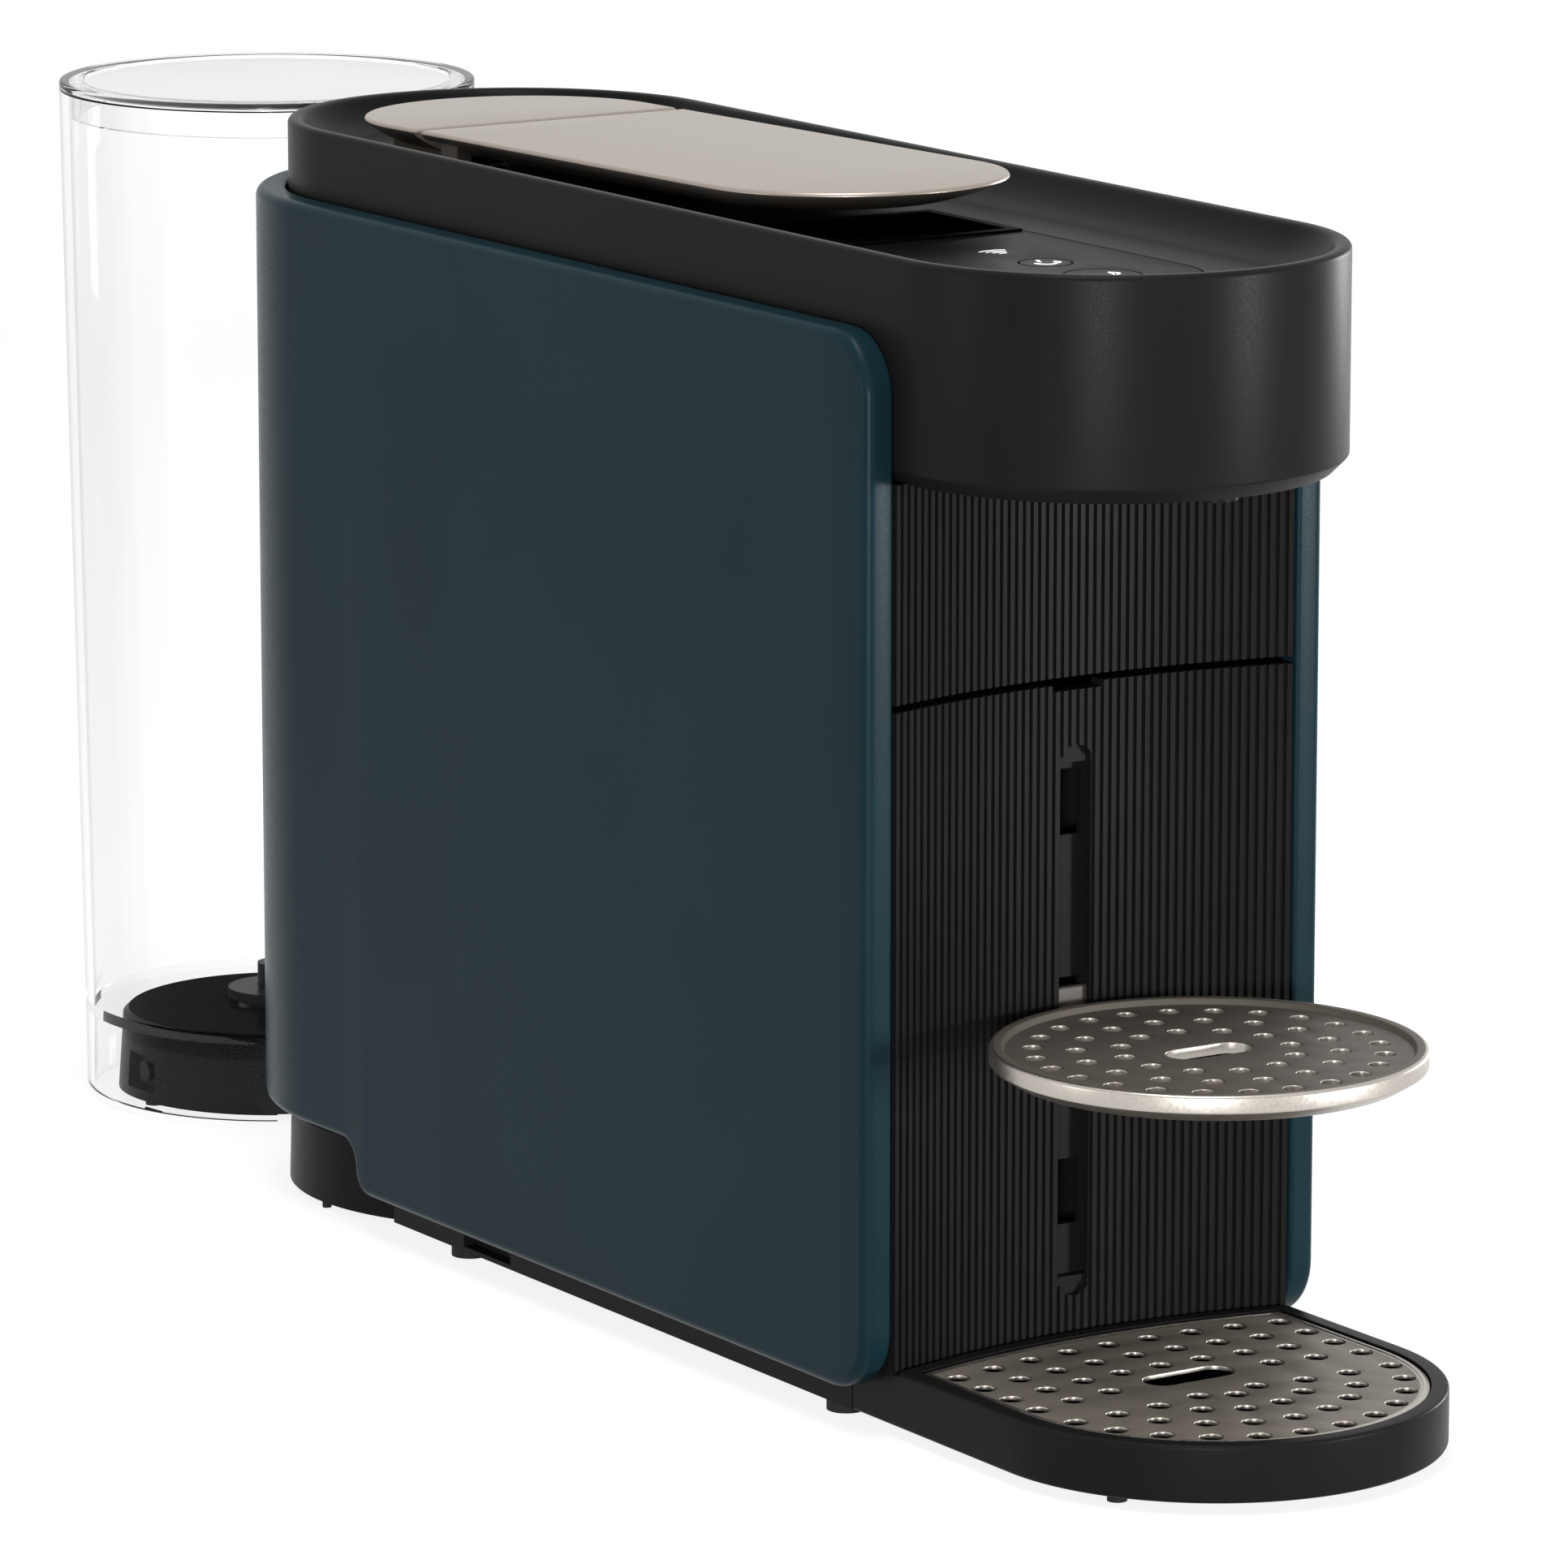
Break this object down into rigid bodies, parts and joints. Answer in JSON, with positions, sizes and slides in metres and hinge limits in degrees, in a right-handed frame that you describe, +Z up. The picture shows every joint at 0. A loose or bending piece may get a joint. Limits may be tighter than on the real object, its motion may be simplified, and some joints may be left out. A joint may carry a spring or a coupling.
{
  "type": "pod coffee machine",
  "caption": "Slim pod coffee machine with a lever-closed brewing unit, a pull-out capsule drawer, a height-adjustable cup support and a water tank on a swivelling arm.",
  "frame": {"origin": "on the floor, under the middle of the machine's box with the tank straight behind", "axes": "+X the machine's right, -Y its front, +Z up"},
  "size_m": [0.11, 0.46, 0.2387],
  "materials": {
    "shell_teal": "satin",
    "black_plastic": "satin",
    "panel_black": "satin",
    "light_pipe": "gloss",
    "champagne": "satin",
    "frame_zinc": "cast",
    "steel": "ground",
    "cup_metal": "satin",
    "rubber_black": "matte",
    "hose_rubber": "matte",
    "clear_tank": "clear",
    "tank_lid_white": "satin",
    "heater_alloy": "cast",
    "pump_body": "satin",
    "circuit_board": "gloss"
  },
  "bodies": {
    "body": {"outer_shell": "shell_teal", "head_housing": "black_plastic", "upper_panel": "black_plastic", "control_panel": "panel_black", "status_light": "light_pipe", "button_board": "circuit_board", "rear_cover": "champagne", "rear_cover_stand": "champagne", "hinge_pin": "steel", "brew_plate_right": "black_plastic", "brew_plate_left": "black_plastic", "injection_cage": "black_plastic", "capsule_chute": "black_plastic", "outlet_plate": "black_plastic", "coffee_trough": "black_plastic", "chassis": "black_plastic", "bulkhead": "black_plastic", "swivel_retainer": "black_plastic", "body_feet": "rubber_black", "base_screws": "steel", "mains_gland": "rubber_black", "thermoblock": "heater_alloy", "pump": "pump_body", "pump_mount": "rubber_black", "flow_meter": "black_plastic", "inlet_hose": "hose_rubber", "suction_hose": "hose_rubber", "pressure_hose": "hose_rubber", "brew_hose": "hose_rubber", "power_board": "circuit_board"},
    "lever": {"lever_cover": "champagne", "lever_frame": "frame_zinc", "drive_pin": "steel"},
    "carriage": {"extraction_carriage": "black_plastic", "extraction_plate": "steel"},
    "small_button": {"small_button": "panel_black"},
    "large_button": {"large_button": "panel_black"},
    "drawer": {"drawer_front": "black_plastic", "drip_base": "black_plastic", "capsule_bin": "black_plastic", "drip_feet": "rubber_black"},
    "drip_grid": {"drip_grid": "cup_metal"},
    "cup_support": {"cup_support": "cup_metal"},
    "tank_arm": {"tank_arm": "black_plastic", "seat_cover": "black_plastic", "valve_socket": "black_plastic", "arm_feet": "rubber_black"},
    "tank": {"tank_body": "clear_tank", "tank_valve": "black_plastic"},
    "tank_lid": {"tank_lid": "tank_lid_white"}
  },
  "joints": [
    {"name": "lever_hinge", "type": "hinge", "parent": "body", "child": "lever", "pos_m": [0, 0.053, 0.2292], "axis": [-1, 0, 0], "range_deg": [0, 80]},
    {"name": "carriage_slide", "type": "slide", "parent": "body", "child": "carriage", "axis": [0, -1, 0], "range_m": [0, 0.0284]},
    {"name": "small_button_press", "type": "slide", "parent": "body", "child": "small_button", "axis": [0, 0, -1], "range_m": [0, 0.0008], "stiffness_N_per_m": 1500},
    {"name": "large_button_press", "type": "slide", "parent": "body", "child": "large_button", "axis": [0, 0, -1], "range_m": [0, 0.0008], "stiffness_N_per_m": 1500},
    {"name": "drawer_slide", "type": "slide", "parent": "body", "child": "drawer", "axis": [0, -1, 0], "range_m": [0, 0.12]},
    {"name": "grid_lift", "type": "slide", "parent": "drawer", "child": "drip_grid", "axis": [0, 0, 1], "range_m": [0, 0.025]},
    {"name": "cup_height", "type": "slide", "parent": "drawer", "child": "cup_support", "axis": [0, 0, 1], "range_m": [-0.03735, 0.0425]},
    {"name": "tank_swivel", "type": "hinge", "parent": "body", "child": "tank_arm", "pos_m": [0, 0.078, 0.01], "axis": [0, 0, 1], "range_deg": [-90, 90]},
    {"name": "tank_lift", "type": "slide", "parent": "tank_arm", "child": "tank", "axis": [0, 0, 1], "range_m": [0, 0.06]},
    {"name": "tank_lid_lift", "type": "slide", "parent": "tank", "child": "tank_lid", "axis": [0, 0, 1], "range_m": [0, 0.04]}
  ],
  "couplings": [
    {"joint": "carriage_slide", "follows": "lever_hinge", "m_per_rad": 0.020256}
  ]
}
